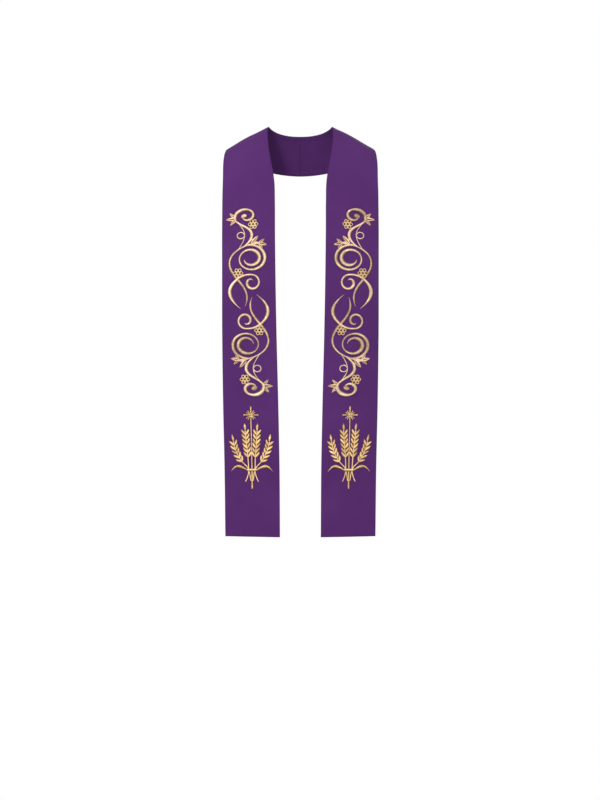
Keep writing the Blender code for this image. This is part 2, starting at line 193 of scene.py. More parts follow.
# %% Lamps
CHEST, NAPE = (0, -0.16, -0.45), (0, -0.1, -0.4)
LAMPS = (  # name, place, what it points at, size and power
    ("key", (-0.7, -2.1, 0.35), CHEST, 0.3, 32),
    ("fill", (2.0, -2.3, -0.3), CHEST, 1.2, 4),
    ("back", (0.9, 2.6, 0.9), NAPE, 1.2, 75),
)
for name, place, aim, size, power in LAMPS:
    light = bpy.data.lights.new(name, "AREA")
    light.shape, light.size, light.energy = "SQUARE", size, power
    lamp = add_object(name, light)
    lamp.location = place
    lamp.rotation_euler = (Vector(aim) - Vector(place)).to_track_quat("-Z", "Y").to_euler()
    print(f"{name} lamp, {power} W")

# %% [markdown]
# ## The shape of a band
#
# A band is cut flat and then bent over the shoulder, so it is best described the way it is cut: by how
# far along it a point lies, from the back seam to the hem, and how far across. A short table holds the
# band's edges at places along it. A smooth curve through each column of the table gives every place
# between.
#
# The table is the solid model's own, so the dressed cloth lies exactly on it.

# %% Sections of the band
SECTIONS = (  # x, y and z of the inner edge, x, y and z of the outer one, and how far the middle bows
    (0, 0, 0, 0, 42, -101, 3),  # back seam
    (30, -5, 1, 52, 41, -97, 3),
    (57, -19, 5, 104, 33, -86, 3),
    (75, -40, 11, 150, 9, -69, 3),
    (82, -56, 15, 182, -24, -53, 3),
    (84, -68, 15, 195, -62, -45, 3),  # shoulder line
    (86.5, -84, 5, 199.5, -85, -57, 3),
    (86, -102, -17, 201.5, -101, -73, 3),
    (83, -118, -46, 202.5, -113, -93, 3),
    (78.5, -131, -76, 202.5, -122, -116, 4),
    (72.5, -142, -106, 202.5, -130, -140, 4),
    (67.5, -152, -142, 203, -138, -168, 4),
    (66, -164, -192, 203, -148, -206, 4),  # chest
    (65.5, -176, -270, 203, -159, -276, 4),
    (64.5, -182, -360, 202.5, -167, -362, 4),
    (61.5, -185, -530, 202, -172, -530, 3),
    (57, -186, -710, 199.5, -175, -710, 3),
    (53.5, -186, -890, 195.5, -176, -890, 3),
    (52.5, -186, -1061, 193.5, -176, -1059, 2),  # hem
)
WALL = 2.0  # thickness of the cloth


# %% Curves through a table
def hermite(start, end, leaving, arriving, t):
    """A curve from start to end, with a slope at each, at the shares t of the way."""
    return (
        start * (2 * t**3 - 3 * t**2 + 1)
        + end * (3 * t**2 - 2 * t**3)
        + leaving * (t**3 - 2 * t**2 + t)
        + arriving * (t**3 - t**2)
    )


def smooth(places, values, at):
    """Values at the places at, on a smooth curve through the table's values."""
    places, values = np.asarray(places, float), np.asarray(values, float)
    slopes = np.gradient(values, places, axis=0)
    k = np.clip(np.searchsorted(places, at, side="right") - 1, 0, len(places) - 2)
    span = (places[k + 1] - places[k])[:, None]
    t = ((at - places[k]) / span[:, 0])[:, None]
    return hermite(values[k], values[k + 1], slopes[k] * span, slopes[k + 1] * span, t)


def run_of(path):
    """How far along a path each of its points lies."""
    return np.concatenate([[0], np.cumsum(np.linalg.norm(np.diff(path, axis=0), axis=1))])


# %% Places on the band
SLOPE_STEPS = 1.0, 0.01  # along and across, to the points that a slope is taken from
TABLE = np.array(SECTIONS, float)
LENGTHS = run_of((TABLE[:, 0:3] + TABLE[:, 3:6]) / 2)
BAND_LENGTH = LENGTHS[-1]
MIRRORED = TABLE[1] * np.array([-1, 1, 1, -1, 1, 1, 1])  # past the seam, so that the bands meet squarely
PLACES = np.concatenate([[-LENGTHS[1]], LENGTHS])
ROWS = np.vstack([MIRRORED, TABLE])


def edges_at(along):
    rows = smooth(PLACES, ROWS, np.asarray(along, float))
    return rows[:, 0:3], rows[:, 3:6], rows[:, 6:7]


def width_at(along):
    inner, outer, _ = edges_at(along)
    return np.linalg.norm(outer - inner, axis=1)


def straight_points(along, across):
    inner, outer, _ = edges_at(along)
    return inner + (outer - inner) * (across[:, None] + 1) / 2


def face_points(along, across):
    """Points on the outer face and the way it faces; across is -1 at the inner edge and 1 at the outer."""
    further, wider = SLOPE_STEPS
    ahead = straight_points(along + further, across) - straight_points(along - further, across)
    side = straight_points(along, across + wider) - straight_points(along, across - wider)
    normals = np.cross(ahead, side)
    normals /= np.linalg.norm(normals, axis=1)[:, None]
    bow = edges_at(along)[2]
    return straight_points(along, across) + normals * bow * (1 - across[:, None] ** 2), normals


hem_width = width_at(np.array([BAND_LENGTH]))[0]
print(f"a band is {BAND_LENGTH:.0f} mm long on its middle line and {hem_width:.0f} mm wide at the hem")

# %% [markdown]
# ## Soft troughs and ridges
#
# A stole is firm, but no cloth hangs dead flat. It dips a little where it leaves the shoulder, and long
# low waves run down the fronts. A cloth simulation would smooth such a stiff band or crumple it, so each
# wave is listed one by one: where it lies, which way it runs, how long, how wide and how deep. One flank
# of each is steeper than the other, which is what makes it look like cloth. The two bands differ, as real
# ones do.


# %% Troughs, and the height of the cloth
TROUGHS = {  # place along and across, heading, length, width and depth, which is negative for a ridge
    "left": (
        (52, 0.25, 72, 46, 17, 0.8),
        (118, -0.3, 58, 52, 20, -0.9),
        (178, 0.45, 30, 60, 20, 1.1),
        (232, -0.42, 24, 70, 19, 1.3),
        (262, 0.3, -28, 78, 22, -1.2),
        (352, 0.62, -7, 96, 17, 1.2),
        (420, -0.25, 6, 130, 27, -1.0),
        (560, 0.5, 4, 160, 23, -1.2),
        (655, -0.62, -4, 150, 19, 1.2),
        (790, 0.15, 5, 170, 25, 1.0),
        (905, 0.66, -3, 130, 17, -1.2),
        (985, -0.5, 5, 140, 22, -1.3),
        (1120, 0.35, -6, 120, 21, 1.4),
        (1190, -0.55, 4, 90, 19, 1.1),
        (1235, 0.0, 3, 60, 22, -1.0),
    ),
    "right": (
        (60, -0.2, 66, 50, 18, 0.8),
        (130, 0.35, 48, 54, 19, -0.9),
        (190, -0.4, 33, 58, 19, 1.1),
        (240, 0.4, -22, 72, 22, 1.3),
        (285, -0.25, 26, 80, 20, -1.1),
        (375, 0.2, 8, 110, 26, 1.0),
        (450, -0.65, -4, 130, 17, 1.2),
        (540, 0.6, -5, 150, 20, 1.1),
        (640, -0.1, 4, 165, 27, -1.1),
        (760, 0.62, 3, 150, 18, -1.2),
        (850, -0.5, -6, 150, 21, 1.3),
        (1000, 0.2, 4, 150, 25, 1.1),
        (1085, -0.62, 3, 120, 18, -1.2),
        (1150, 0.55, -5, 100, 20, -1.3),
        (1225, -0.2, -4, 70, 23, 1.2),
    ),
}
FLANKS = (0.75, 1.3)  # how steep the two flanks of a trough are


def relief(side, along, across):
    """Height of the cloth's troughs and ridges above its smooth form."""
    half = width_at(along) / 2
    height = np.zeros(len(along))
    for place_along, place_across, heading, length, width, depth in TROUGHS[side]:
        turn = math.radians(heading)
        down = along - place_along
        out = (across - place_across) * half
        run = down * math.cos(turn) + out * math.sin(turn)
        off = -down * math.sin(turn) + out * math.cos(turn)
        steep = np.where(off < 0, *FLANKS)
        height -= depth * np.exp(-((run / length) ** 2) - (off * steep / width) ** 2)
    return height


def cloth_points(side, along, across):
    """Points on the finished cloth's outer face, for the wearer's left, and the way it faces."""
    points, normals = face_points(along, across)
    return points + normals * relief(side, along, across)[:, None], normals


SIGN = {"left": 1, "right": -1}  # of X on each band
probe = np.linspace(0, BAND_LENGTH, 400)
for side in SIGN:
    low_high = [relief(side, probe, np.full(len(probe), c)) for c in (-0.7, 0, 0.7)]
    print(f"{side} band: relief from {np.min(low_high):.1f} to {np.max(low_high):.1f} mm")

# %% [markdown]
# ## Shader groups
#
# The cloth is a plain weave, and a weave is an effect that depends on where each thread passes over the
# other. It is built once as a node group from sine waves: one wave for each set of threads, and their
# product says which thread is on top. A second group gives slow clouds of dye and fine fibres, which both
# the cloth and the thread use, each at its own scale.


# %% A node tree with named inputs
def new_tree(name, kind, inputs, output):
    """A tree with named inputs and one output, the inputs' sockets inside it, and its last node."""
    tree = bpy.data.node_groups.new(name, kind)
    for label, (socket, value) in inputs.items():
        made = tree.interface.new_socket(label, in_out="INPUT", socket_type=f"NodeSocket{socket}")
        if value is not None:
            made.default_value = value
    label, socket = output
    tree.interface.new_socket(label, in_out="OUTPUT", socket_type=f"NodeSocket{socket}")
    return tree, tree.nodes.new("NodeGroupInput").outputs, tree.nodes.new("NodeGroupOutput")


# %% Plain weave group
WANDER_NOISE = {"Scale": 160, "Detail": 2}  # threads aren't quite straight or even
CROSSING = 3.0  # how sharply one thread passes over another
LEVEL, RISE_AND_DIP = 0.55, 0.45  # a thread's height, and how far it changes where threads cross


def plain_weave_group():
    inputs = {"Place": ("Vector", None), "Pitch": ("Float", 0.0006), "Wander": ("Float", 0.5)}
    group, given, result = new_tree("plain weave", "ShaderNodeTree", inputs, ("Height", "Float"))

    def do(operation, *values):
        return math_node(group, operation, *values)

    noise = add_node(group, "ShaderNodeTexNoise", {"Vector": given["Place"], **WANDER_NOISE})
    shift = do("MULTIPLY", do("SUBTRACT", noise.outputs[0], 0.5), given["Wander"])
    place = add_node(group, "ShaderNodeSeparateXYZ", {0: given["Place"]}).outputs
    waves = []
    for axis in ("X", "Y"):
        count = do("ADD", do("DIVIDE", place[axis], given["Pitch"]), shift)
        waves.append(do("SINE", do("MULTIPLY", count, math.pi)))
    product = do("MINIMUM", do("MULTIPLY", do("MULTIPLY", *waves), CROSSING), 1.0)
    over = do("MULTIPLY", do("MAXIMUM", product, -1.0), RISE_AND_DIP)
    warp = do("MULTIPLY", do("ABSOLUTE", waves[0]), do("ADD", over, LEVEL))
    weft = do("MULTIPLY", do("ABSOLUTE", waves[1]), do("SUBTRACT", LEVEL, over))
    set_inputs(result, {"Height": do("MAXIMUM", warp, weft)})
    return group


# %% Slow and fine variation group
def variation_group():
    scales = {"Slow scale": ("Float", 9.0), "Fine scale": ("Float", 1500.0), "Slow share": ("Float", 0.6)}
    inputs = {"Place": ("Vector", None), **scales}
    group, given, result = new_tree("uneven dye and fibres", "ShaderNodeTree", inputs, ("Shade", "Float"))
    clouds = []
    for scale, detail in (("Slow scale", 3.0), ("Fine scale", 1.0)):
        noise = {"Vector": given["Place"], "Scale": given[scale], "Detail": detail}
        clouds.append(add_node(group, "ShaderNodeTexNoise", noise).outputs[0])
    shares = {"Factor": given["Slow share"], "B": clouds[0], "A": clouds[1]}
    blend = add_node(group, "ShaderNodeMix", shares)
    set_inputs(result, {"Shade": blend.outputs["Result"]})
    return group


WEAVE = plain_weave_group()
VARIATION = variation_group()
print("shader groups:", WEAVE.name, "and", VARIATION.name)

# %% [markdown]
# ## Purple cloth
#
# Matte wool-like cloth: almost no gloss and a faint nap that catches light where it turns away. The weave
# runs along and across the band, so it follows the band's own map rather than the room: the map is simply
# the flat cut, in metres. The weave's dips are painted a little darker, as painted shade between threads,
# and a strip right along the edges is painted darker, as painted shade where the cloth turns away.


# %% Helpers for surfaces
def group_node(tree, group, place, values):
    return add_node(tree, "ShaderNodeGroup", {"Place": place, **values}, node_tree=group).outputs[0]


def fact_of(tree, name):
    return add_node(tree, "ShaderNodeAttribute", attribute_name=name).outputs["Fac"]


def mixture(tree, parts):
    """The sum of some values, each times its share."""
    total = 0.0
    for value, share in parts:
        total = math_node(tree, "MULTIPLY_ADD", value, share, total)
    return total


def color_ramp(tree, factor, stops):
    ramp = add_node(tree, "ShaderNodeValToRGB", {0: factor})
    elements = ramp.color_ramp.elements
    while len(elements) < len(stops):
        elements.new(0.5)
    for element, (place, color) in zip(elements, stops):
        element.position = place
        element.color = (*color, 1)
    return ramp.outputs[0]


def bump(tree, height, values):
    return add_node(tree, "ShaderNodeBump", {"Height": height, **values}).outputs[0]


# %% Cloth material
CLOTH_COLORS = (
    (0.20, (0.0345, 0.0079, 0.0560)),
    (0.50, (0.0535, 0.0132, 0.0860)),
    (0.85, (0.087, 0.0252, 0.130)),
)
CLOTH_WEAVE = {"Pitch": 0.0007, "Wander": 0.55}
CLOTH_DYE = {"Slow scale": 7.0, "Fine scale": 1400.0, "Slow share": 0.55}
CLOTH_BUMP = {"Distance": 0.00022, "Strength": 0.55}
CLOTH_SHARES = (0.30, 0.55, -0.10)  # of the weave, the dye and the painted edge shade in its colour; the weave's dips are painted shade too
CLOTH_FINISH = {
    "Roughness": 0.90,
    "Specular IOR Level": 0.10,
    "Sheen Weight": 0.03,
    "Sheen Roughness": 0.45,
    "Sheen Tint": (0.80, 0.66, 0.95, 1),
}


def purple_cloth():
    material, tree, surface = new_material("purple_weave", CLOTH_FINISH)
    flat_cut = add_node(tree, "ShaderNodeUVMap", uv_map="flat cut").outputs[0]
    # painted shade: the weave's height also darkens the dips between threads in the colour
    weave = group_node(tree, WEAVE, flat_cut, CLOTH_WEAVE)
    dye = group_node(tree, VARIATION, flat_cut, CLOTH_DYE)
    # painted shade: the strip along the edges darkens the colour, and so do the weave's dips
    parts = (weave, dye, fact_of(tree, "painted edge shade"))
    color = color_ramp(tree, mixture(tree, zip(parts, CLOTH_SHARES)), CLOTH_COLORS)
    set_inputs(surface, {"Base Color": color, "Normal": bump(tree, weave, CLOTH_BUMP)})
    return material


CLOTH = purple_cloth()
print("material:", CLOTH.name)

# %% [markdown]
# ## Threads
#
# Glossy embroidery thread is yarn wrapped with a bright strand, between silk and metal. Each stitch is a
# thread of its own in the mesh, so the shader only needs its tone: every stroke is dyed a touch
# differently, every thread too, and each thread is painted browner towards its ends, as painted shade
# where it dips into the cloth at a stroke's edge. Pale gold makes the vines, yellow gold the rings of the
# berries, dark brown their hearts, and warm gold the emblem. The seams are sewn with dull purple thread.

# %% Thread materials
Dye = namedtuple("Dye", "name pale middle deep roughness metal")
GOLD = 0.8  # how metallic the gold threads are
DEEP_GOLD = (0.16, 0.065, 0.018)
BROWN, DARK = (0.035, 0.014, 0.009), (0.012, 0.005, 0.004)
DYES = {
    "pale": Dye("pale_gold_thread", (1.00, 0.84, 0.68), (0.79, 0.57, 0.38), (0.15, 0.07, 0.03), 0.29, GOLD),
    "berry": Dye("yellow_gold_thread", (1.00, 0.80, 0.48), (0.86, 0.59, 0.28), DEEP_GOLD, 0.31, GOLD),
    "warm": Dye("warm_gold_thread", (1.00, 0.84, 0.53), (0.94, 0.65, 0.29), DEEP_GOLD, 0.29, GOLD),
    "dark": Dye("dark_brown_thread", (0.08, 0.03, 0.016), BROWN, DARK, 0.7, 0),
    "ground": Dye("brown_ground", (0.10, 0.045, 0.02), (0.06, 0.026, 0.014), (0.03, 0.012, 0.008), 0.75, 0),
    "purple": Dye("purple_thread", (0.13, 0.045, 0.19), (0.08, 0.024, 0.125), (0.03, 0.008, 0.05), 0.6, 0.1),
}
DYE_PLACES = (0.06, 0.44, 0.82)  # of the deep, middle and pale colours on the ramp
FIBRES = {"Slow scale": 30.0, "Fine scale": 2600.0, "Slow share": 0.62}
FIBRE_SHARE = 0.56  # of the fibres in a thread's shade
FACT_SHARES = {"tone": 0.22, "strand": 0.26, "end": -0.62}  # of a stroke's tone, each thread's own tone, and the painted shade at a thread's ends
THREAD_BUMP = {"Distance": 0.00012, "Strength": 0.35}
THREAD_SHEEN = {"Sheen Weight": 0.12, "Sheen Roughness": 0.35}


def sewing_thread(dye):
    shine = {"Roughness": dye.roughness, "Metallic": dye.metal, "Specular IOR Level": dye.metal}
    material, tree, surface = new_material(dye.name, {**shine, **THREAD_SHEEN})
    place = add_node(tree, "ShaderNodeTexCoord").outputs["Object"]
    fibres = group_node(tree, VARIATION, place, FIBRES)
    # painted shade: the end fact darkens each thread towards both its ends
    facts = [(fact_of(tree, name), share) for name, share in FACT_SHARES.items()]
    shade = mixture(tree, [(fibres, FIBRE_SHARE), *facts])
    color = color_ramp(tree, shade, list(zip(DYE_PLACES, (dye.deep, dye.middle, dye.pale))))
    set_inputs(surface, {"Base Color": color, "Normal": bump(tree, fibres, THREAD_BUMP)})
    return material


THREADS = {name: sewing_thread(dye) for name, dye in DYES.items()}
print("threads:", ", ".join(THREADS))

# %% [markdown]
# ## The two bands
#
# Each band is one closed shell: an outer face, an inner face a wall's thickness behind it, and rounded
# edges where the cloth is turned in. A plain Solidify would give square edges, so the shell is built as
# two grids whose thickness runs out in a round at the border, where they share their points. The turned
# edge lies inside, so the cloth is a little thicker along a strip there, which shows as a faint line in
# front.

# %% Grid of a band
EDGE_ROUND = 1.5  # radius of the rounded edge
TURNED_IN = 11.0  # width of the turned edge
TURNED_RISE = 0.16  # how far it lifts the outer face
TURNED_DROP = 0.6  # how far it stands out inside
SOFT_STEP = 1.8  # width of the step beside it
EDGE_SHADE_REACH = 2.2  # how far in from an edge the cloth is painted darker, as painted shade
ROW_PITCH, LEAST_GAP = 6.0, 1.0  # between rows
EDGE_COLUMNS = (0, 0.08, 0.3, 0.7, 1.5, 3.5, 7, 9.6, 10.6, 11.6, 13, 17)  # distances from an edge
MIDDLE_COLUMNS = 17
ON_BORDER = 1e-6


def border_run(distance):
    """1 away from a border, running out to 0 on it in a round."""
    short = np.clip(1 - distance / EDGE_ROUND, 0, 1)
    return np.sqrt(1 - short**2)


def strip(distance):
    """1 on the turned edge and 0 past it, with a soft step."""
    t = np.clip((TURNED_IN + SOFT_STEP / 2 - distance) / SOFT_STEP, 0, 1)
    return t * t * (3 - 2 * t)


def band_grid():
    """Distances along, places across, and distances from the nearest side edge, as rows by columns."""
    ends = np.array(EDGE_COLUMNS, float)
    between = np.arange(ROW_PITCH, BAND_LENGTH - ends[-1] - LEAST_GAP, ROW_PITCH)
    rows = np.concatenate([ends[ends <= EDGE_ROUND], between, BAND_LENGTH - ends[::-1]])
    widths = width_at(rows)[:, None]
    left = ends[None, :] + 0 * widths
    middle = np.linspace(0, 1, MIDDLE_COLUMNS + 2)[None, 1:-1]
    middle = ends[-1] + middle * (widths - 2 * ends[-1])
    from_inner = np.hstack([left, middle, widths - left[:, ::-1]])
    along = np.repeat(rows[:, None], from_inner.shape[1], axis=1)
    across = from_inner / widths * 2 - 1
    return along, across, np.minimum(from_inner, widths - from_inner)


# %% Shell of a band
def grid_faces(grid, flipped=False):
    """The quads between points whose numbers stand in a grid; flipped, they face the other way."""
    a, b, c, d = grid[:-1, :-1], grid[1:, :-1], grid[1:, 1:], grid[:-1, 1:]
    corners = (a, d, c, b) if flipped else (a, b, c, d)
    return np.stack(corners, axis=-1).reshape(-1, 4).tolist()


def band_mesh(side):
    grid = band_grid()
    along, across, from_side = (values.ravel() for values in grid)
    from_edge = np.minimum(from_side, BAND_LENGTH - along)  # the seam isn't a turned edge
    border = border_run(np.minimum(from_edge, along))
    turned = strip(from_edge)
    outer, normals = cloth_points(side, along, across)
    middle = outer - normals * WALL / 2
    out = middle + normals * ((WALL / 2 + TURNED_RISE * turned) * border)[:, None]
    inside = middle - normals * ((WALL / 2 + TURNED_DROP * turned) * border)[:, None]
    for points in (out, inside):
        points[along < ON_BORDER, 0] = 0.0

    free = border >= ON_BORDER  # on the border, the inner face uses the outer one's points
    front = np.arange(len(along))
    behind = front.copy()
    behind[free] = len(along) + np.arange(np.count_nonzero(free))
    front, behind = (numbers.reshape(grid[0].shape) for numbers in (front, behind))
    faces = grid_faces(front, side == "right") + grid_faces(behind, side == "left")
    points = np.vstack([out, inside[free]]) * MM * np.array([SIGN[side], 1, 1])
    # painted shade: a strip along the edges is painted darker, where the rounded cloth turns away from the
    # light
    near = np.exp(-((from_edge / EDGE_SHADE_REACH) ** 2))
    facts = {"painted edge shade": np.concatenate([near, near[free]])}
    mesh = new_mesh(f"{side}_band_cloth", points.tolist(), [], faces, facts, CLOTH)

    cut = np.stack([across * width_at(along) / 2, -along], 1) * MM
    corner = np.empty(len(mesh.loops), int)
    mesh.loops.foreach_get("vertex_index", corner)
    mesh.uv_layers.new(name="flat cut").data.foreach_set("uv", np.vstack([cut, cut[free]])[corner].ravel())
    return mesh


# %% Adding a piece
def add_piece(name, mesh):
    """A finished piece, attached to the stole's one body."""
    mesh.name = name
    piece = add_object(name, mesh)
    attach(piece, "root")
    print(f"{name}: {len(mesh.polygons)} faces")
    return piece


for side in SIGN:
    add_piece(f"{side}_band_cloth", band_mesh(side))
    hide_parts(f"band_{side}")

# %% [markdown]
# ## Drawing the embroidery flat
#
# The worker draws the design flat on the cloth before sewing, and this does the same: p runs towards the
# front edge and q up, in millimetres from the middle of the design. Curls are spirals, the rest is vines
# that pass a few marks, and leaves, berries and wheat grains are short strokes that swell and run out. A
# stroke is a path with a width at each point, so one way of sewing does for all of them.

# %% Paths
Spiral = namedtuple("Spiral", "p q start_angle end_angle start_radius end_radius ease flat widths")
Mark = namedtuple("Mark", "p q heading width")
Stroke = namedtuple("Stroke", "path widths level slant thread")  # level: height that lifts it over another
STEP, LEAST_STEPS = 0.8, 6  # between a path's points, and how many at least
SPIRAL_POINTS, STRETCH_POINTS, DOT_POINTS = 160, 60, 24  # as drawn, before they are evenly spaced
DOT_LEVEL = 0.15


def way_at(angle):
    """The way that an angle in degrees points: 0 is towards the front edge and 90 is up."""
    return np.array([math.cos(math.radians(angle)), math.sin(math.radians(angle))])


def left_of(path):
    """The way to the left of a path, at each of its points."""
    ahead = np.gradient(path, axis=0)
    ahead /= np.linalg.norm(ahead, axis=1)[:, None]
    return np.stack([-ahead[:, 1], ahead[:, 0]], 1)


def swelling(shares, t):
    """Values at each t, on a smooth curve through pairs of a place and a share."""
    places, values = zip(*shares)
    return smooth(places, np.array(values, float)[:, None], t)[:, 0]


def point_at(distance, run, path):
    """The point of a path at a distance from its start, or the points at several."""
    return np.stack([np.interp(distance, run, path[:, axis]) for axis in (0, 1)], -1)


def resampled(path, widths):
    run = run_of(path)
    at = np.linspace(0, run[-1], max(LEAST_STEPS, round(run[-1] / STEP)) + 1)
    return point_at(at, run, path), np.interp(at, run, widths), at


def rounded_ends(widths, run):
    """A stroke narrows to nothing in a round at each end, over a third of it at most."""
    from_end = np.minimum(run, run[-1] - run)
    reach = np.minimum(widths / 2, run[-1] / 3) + 1e-9
    return widths * np.sqrt(1 - np.clip(1 - from_end / reach, 0, 1) ** 2)


# %% Strokes, curls and vines
def stroke(path, widths, level, slant):
    path, widths, run = resampled(path, widths)
    return Stroke(path, rounded_ends(widths, run), level, math.radians(slant), "pale")


def spiral_path(s):
    t = np.linspace(0, 1, SPIRAL_POINTS)
    angle = math.radians(s.start_angle) + math.radians(s.end_angle - s.start_angle) * t
    radius = s.end_radius + (s.start_radius - s.end_radius) * (1 - t) ** s.ease
    path = np.stack([s.p + radius * np.cos(angle), s.q + s.flat * radius * np.sin(angle)], 1)
    return path, swelling(zip(np.linspace(0, 1, len(s.widths)), s.widths), t)


def stretch_path(start, end):
    """From one mark to the next, close to a round arc."""
    a, b = np.array([start.p, start.q], float), np.array([end.p, end.q], float)
    turn = math.radians((end.heading - start.heading + 180) % 360 - 180)
    reach = np.linalg.norm(b - a) / math.cos(turn / 4) ** 2
    t = np.linspace(0, 1, STRETCH_POINTS)[:, None]
    path = hermite(a, b, reach * way_at(start.heading), reach * way_at(end.heading), t)
    return path, start.width + (end.width - start.width) * (3 * t**2 - 2 * t**3)[:, 0]


def vine_path(marks):
    paths, widths = zip(*(stretch_path(start, end) for start, end in zip(marks, marks[1:])))
    return np.vstack(paths), np.concatenate(widths)


def dot(p, q, radius, way, thread="pale"):
    """A round berry, sewn with threads that lie square to the way."""
    t = np.linspace(-1, 1, DOT_POINTS)
    path = np.array([p, q]) + np.outer(radius * t, way_at(way))
    return Stroke(path, 2 * radius * np.sqrt(1 - t**2), DOT_LEVEL, 0.0, thread)


print("a stroke has a point each", STEP, "mm")

# %% [markdown]
# ## The vine scroll
#
# The scroll on the chest winds from a curl with leaves at the top, through a great spiral with crossing
# arcs, to a small spiral in the middle. Its lower half is the upper half turned by half a turn, so only
# one half is drawn. These tables are the solid model's, so the sewn scroll covers the solid one. Threads
# bulge past the line they are sewn on, so curls and vines are a little fuller than drawn, and both arcs
# run on a little over the curls they join, so that no notch shows.

# %% Scroll tables
SPIRALS = (
    Spiral(-6, 222, 226, -175, 30, 5, 0.75, 0.76, (4, 10, 6, 8.5, 5, 4)),  # top curl
    Spiral(6, 111, 112, -530, 41, 17, 1.15, 0.86, (3.5, 8.5, 5, 4, 9, 8.5, 1)),  # great spiral
    Spiral(9, 49, 100, -285, 20, 6, 0.6, 1.0, (4.5, 5, 6, 6.5, 1)),  # small spiral
    Spiral(-19.5, 172, 5, 350, 9.5, 9.5, 1, 0.9, (2.2, 2.2, 2.2)),  # tendril's ring
)
VINES = (
    (Mark(-31, 210, -50, 4), Mark(9, 172, -90, 7.5), Mark(-12, 143, -145, 3)),  # stem
    (Mark(-27, 206, -55, 2), Mark(-10, 178, -78, 2.3), Mark(-27, 134, -122, 2)),  # tendril
    (
        Mark(-1, 145.3, 189, 4),
        Mark(-8, 144, 200, 4),
        Mark(-50, 100, 270, 5.5),
        Mark(-29, 57, 310, 6.5),
        Mark(-5, 15, 277, 5),
        Mark(-9, -12, 250, 1),
    ),  # long arc
    (
        Mark(-21, -18, 140, 1),
        Mark(-49, 25, 90, 9),
        Mark(-29, 58, 40, 6),
        Mark(8, 69, -4, 4.5),
        Mark(12, 68.5, -10, 4.5),
    ),  # cross arc
    (Mark(-6, 145, 12, 3), Mark(28, 150, -8, 3)),  # bud's stalk
)
Spray = namedtuple("Spray", "p q heading length width spread starts")  # starts: shares that the stem covers
SPRAYS = (
    Spray(-28, 218, 182, 31, 11.5, 27, (0.15, 0.15)),  # at the top curl
    Spray(8, 148, 50, 28, 11, 32, (0.09, 0.32)),  # leaf
    Spray(26, 150, -10, 23, 9.5, 34, (0.09, 0.09)),  # bud
)
LEAF_SHARES = ((0, 0.34), (0.22, 0.84), (0.45, 1.0), (0.75, 0.70), (1, 0.04))  # of a leaf's width, along it
SIDE_LENGTH, SIDE_WIDTH, SIDE_BEND = 0.84, 0.8, 26.0
VEIN = 0.5  # the groove along the middle of a leaf
BERRIES = ((13, 200), (-27, 74))
BERRY_RADIUS, BERRY_RING, BERRY_MIDDLE, BERRY_RIM = 4.5, 8.7, 2.5, 2.0
BALL_RADIUS, BALL_WAY = 7.5, 20
SCROLL_CENTRE = 605.0  # height above the hem
FULLER = 1.15  # a sewn curl's width to the drawn one's
SPIRAL_LEVELS = (0.6, 0.0, 0.0, 0.0)  # how high each lies over the others
VINE_LEVELS = (0.35, 0.6, 0.25, 0.5, 0.0)
LEAST_FIELD = 0.3  # width of a leaf's field where it runs out
TOP_LEAF = 0.3  # level of a spray's middle leaf
LEAF_SLANT, RING_SLANT, SPIRAL_SLANT, VINE_SLANT = 32, 8, 14, -14
RING_LEVEL, RING_POINTS = 0.1, 40


# %% Scroll strokes
def leaf(p, q, heading, length, width, bend, level, start):
    """A leaf as two fields of satin stitch, one on each side of its vein."""
    tip = np.array([p, q]) + length * way_at(heading + bend / 2)
    vein, _ = stretch_path(Mark(p, q, heading, 0), Mark(*tip, heading + bend, 0))
    vein = vein[round(start * len(vein)) :]
    t = np.linspace(start, 1, len(vein))
    field = width * swelling(LEAF_SHARES, t) / 2
    fields = []
    for way in (1, -1):
        path = vein + left_of(vein) * (field / 2 + VEIN / 4 * (1 - t))[:, None] * way
        widths = np.maximum(field - VEIN / 2 * (1 - t), LEAST_FIELD)
        fields.append(stroke(path, widths, level, LEAF_SLANT * way))
    return fields


def spray(s):
    leaves = []
    for way in (-1, 1):
        side = (s.length * SIDE_LENGTH, s.width * SIDE_WIDTH, way * SIDE_BEND)
        leaves += leaf(s.p, s.q, s.heading + way * s.spread, *side, 0.0, s.starts[way > 0])
    return leaves + leaf(s.p, s.q, s.heading, s.length, s.width, 0, TOP_LEAF, s.starts[0])


def ring(p, q, radius, width):
    turn = np.linspace(2 * math.pi, 0, RING_POINTS)
    path = np.stack([p + radius * np.cos(turn), q + radius * np.sin(turn)], 1)
    path, widths, _ = resampled(path, np.full(len(turn), width))
    return Stroke(path, widths, RING_LEVEL, math.radians(RING_SLANT), "berry")


def berry_cluster(centre):
    """Six berries round one, each a ring of satin stitch round a darker middle."""
    strokes = []
    for k in range(7):
        place = np.array(centre) + (BERRY_RING if k < 6 else 0) * way_at(60 * k)
        strokes.append(dot(*place, BERRY_MIDDLE, 60 * k + 90, "dark"))
        strokes.append(ring(*place, BERRY_RADIUS - BERRY_RIM / 2, BERRY_RIM))
    return strokes


def fuller(path, widths, level, slant):
    return stroke(path, widths * FULLER, level, slant)


def scroll_half():
    strokes = [fuller(*spiral_path(s), level, SPIRAL_SLANT) for s, level in zip(SPIRALS, SPIRAL_LEVELS)]
    curl_end = spiral_path(SPIRALS[0])[0][-1]
    strokes.append(dot(*curl_end, BALL_RADIUS, BALL_WAY))
    strokes += [fuller(*vine_path(marks), level, VINE_SLANT) for marks, level in zip(VINES, VINE_LEVELS)]
    for s in SPRAYS:
        strokes += spray(s)
    for centre in BERRIES:
        strokes += berry_cluster(centre)
    return strokes


def sewn_metres(strokes):
    return sum(run_of(s.path)[-1] for s in strokes) * MM


UPPER = scroll_half()
SCROLL = UPPER + [s._replace(path=-s.path) for s in UPPER]
print(f"scroll: {len(SCROLL)} strokes, {sewn_metres(SCROLL):.2f} m of satin stitch")

# %% [markdown]
# ## The emblem
#
# Low on each front stands a slim cross with rays on a long shaft, between four wheat ears that are tied
# at their foot. A wheat ear is pairs of grains along a stalk and one at the tip, each grain a small leaf.

